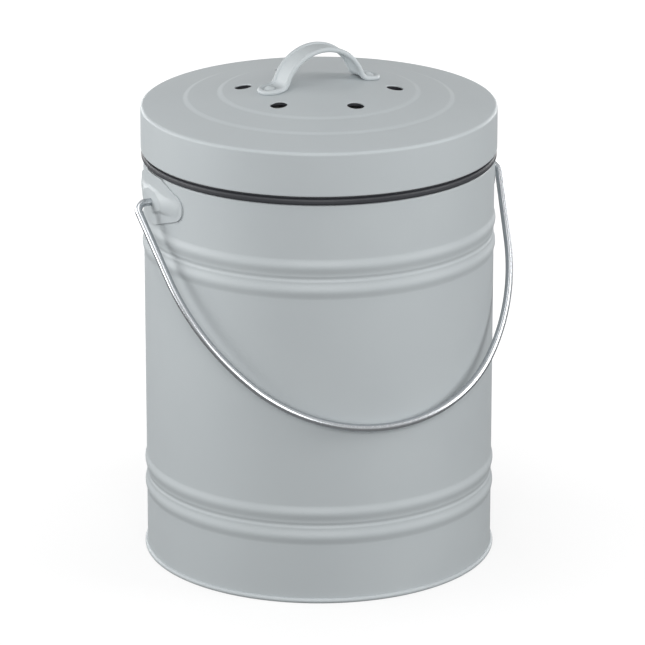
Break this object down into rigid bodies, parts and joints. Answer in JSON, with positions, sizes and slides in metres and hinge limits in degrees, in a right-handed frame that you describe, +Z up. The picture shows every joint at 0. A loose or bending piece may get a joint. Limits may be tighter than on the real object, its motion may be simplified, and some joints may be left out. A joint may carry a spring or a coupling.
{
  "type": "kitchen compost bin",
  "caption": "Round sheet-steel kitchen compost bin with a swinging wire bail, a lift-out plastic bucket and a vented lid that holds a charcoal filter behind a twist-off grille.",
  "frame": {"origin": "centre of the bin's base, on the surface that it stands on", "axes": "+Z up along the bin's axis; X along the bail's pivot axis, from ear to ear; -Y is the front, where the bail hangs"},
  "size_m": [0.1972, 0.1805, 0.2618],
  "materials": {
    "powder_coated_steel": "light cool grey powder coat on rolled and pressed sheet steel, fine texture, semi-matt",
    "plated_wire": "bright nickel-plated drawn steel wire",
    "black_plastic": "injection-moulded polypropylene, fine satin texture",
    "gasket_rubber": "soft moulded rubber, matt",
    "charcoal_felt": "needle-punched felt loaded with activated charcoal"
  },
  "bodies": {
    "pail": {"pail_wall": "powder_coated_steel", "pail_base": "powder_coated_steel", "left_ear": "powder_coated_steel", "right_ear": "powder_coated_steel"},
    "bail": {"bail_handle": "plated_wire"},
    "bucket": {"inner_bucket": "black_plastic"},
    "lid": {"lid_shell": "powder_coated_steel", "lid_gasket": "gasket_rubber", "lid_handle": "powder_coated_steel", "handle_rivets": "powder_coated_steel", "filter_holder": "black_plastic", "filter_disc": "charcoal_felt"},
    "cover": {"filter_cover": "black_plastic"}
  },
  "joints": [
    {"name": "bail_swing", "type": "hinge", "parent": "pail", "child": "bail", "pos_m": [0, 0, 0.1908], "axis": [-1, 0, 0], "range_deg": [0, 275.6]},
    {"name": "bucket_lift", "type": "slide", "parent": "pail", "child": "bucket", "axis": [0, 0, 1], "range_m": [0, 0.21]},
    {"name": "lid_lift", "type": "slide", "parent": "bucket", "child": "lid", "axis": [0, 0, 1], "range_m": [0, 0.12]},
    {"name": "cover_twist", "type": "hinge", "parent": "lid", "child": "cover", "pos_m": [0, 0, 0.226], "axis": [0, 0, 1], "range_deg": [0, 60]}
  ]
}
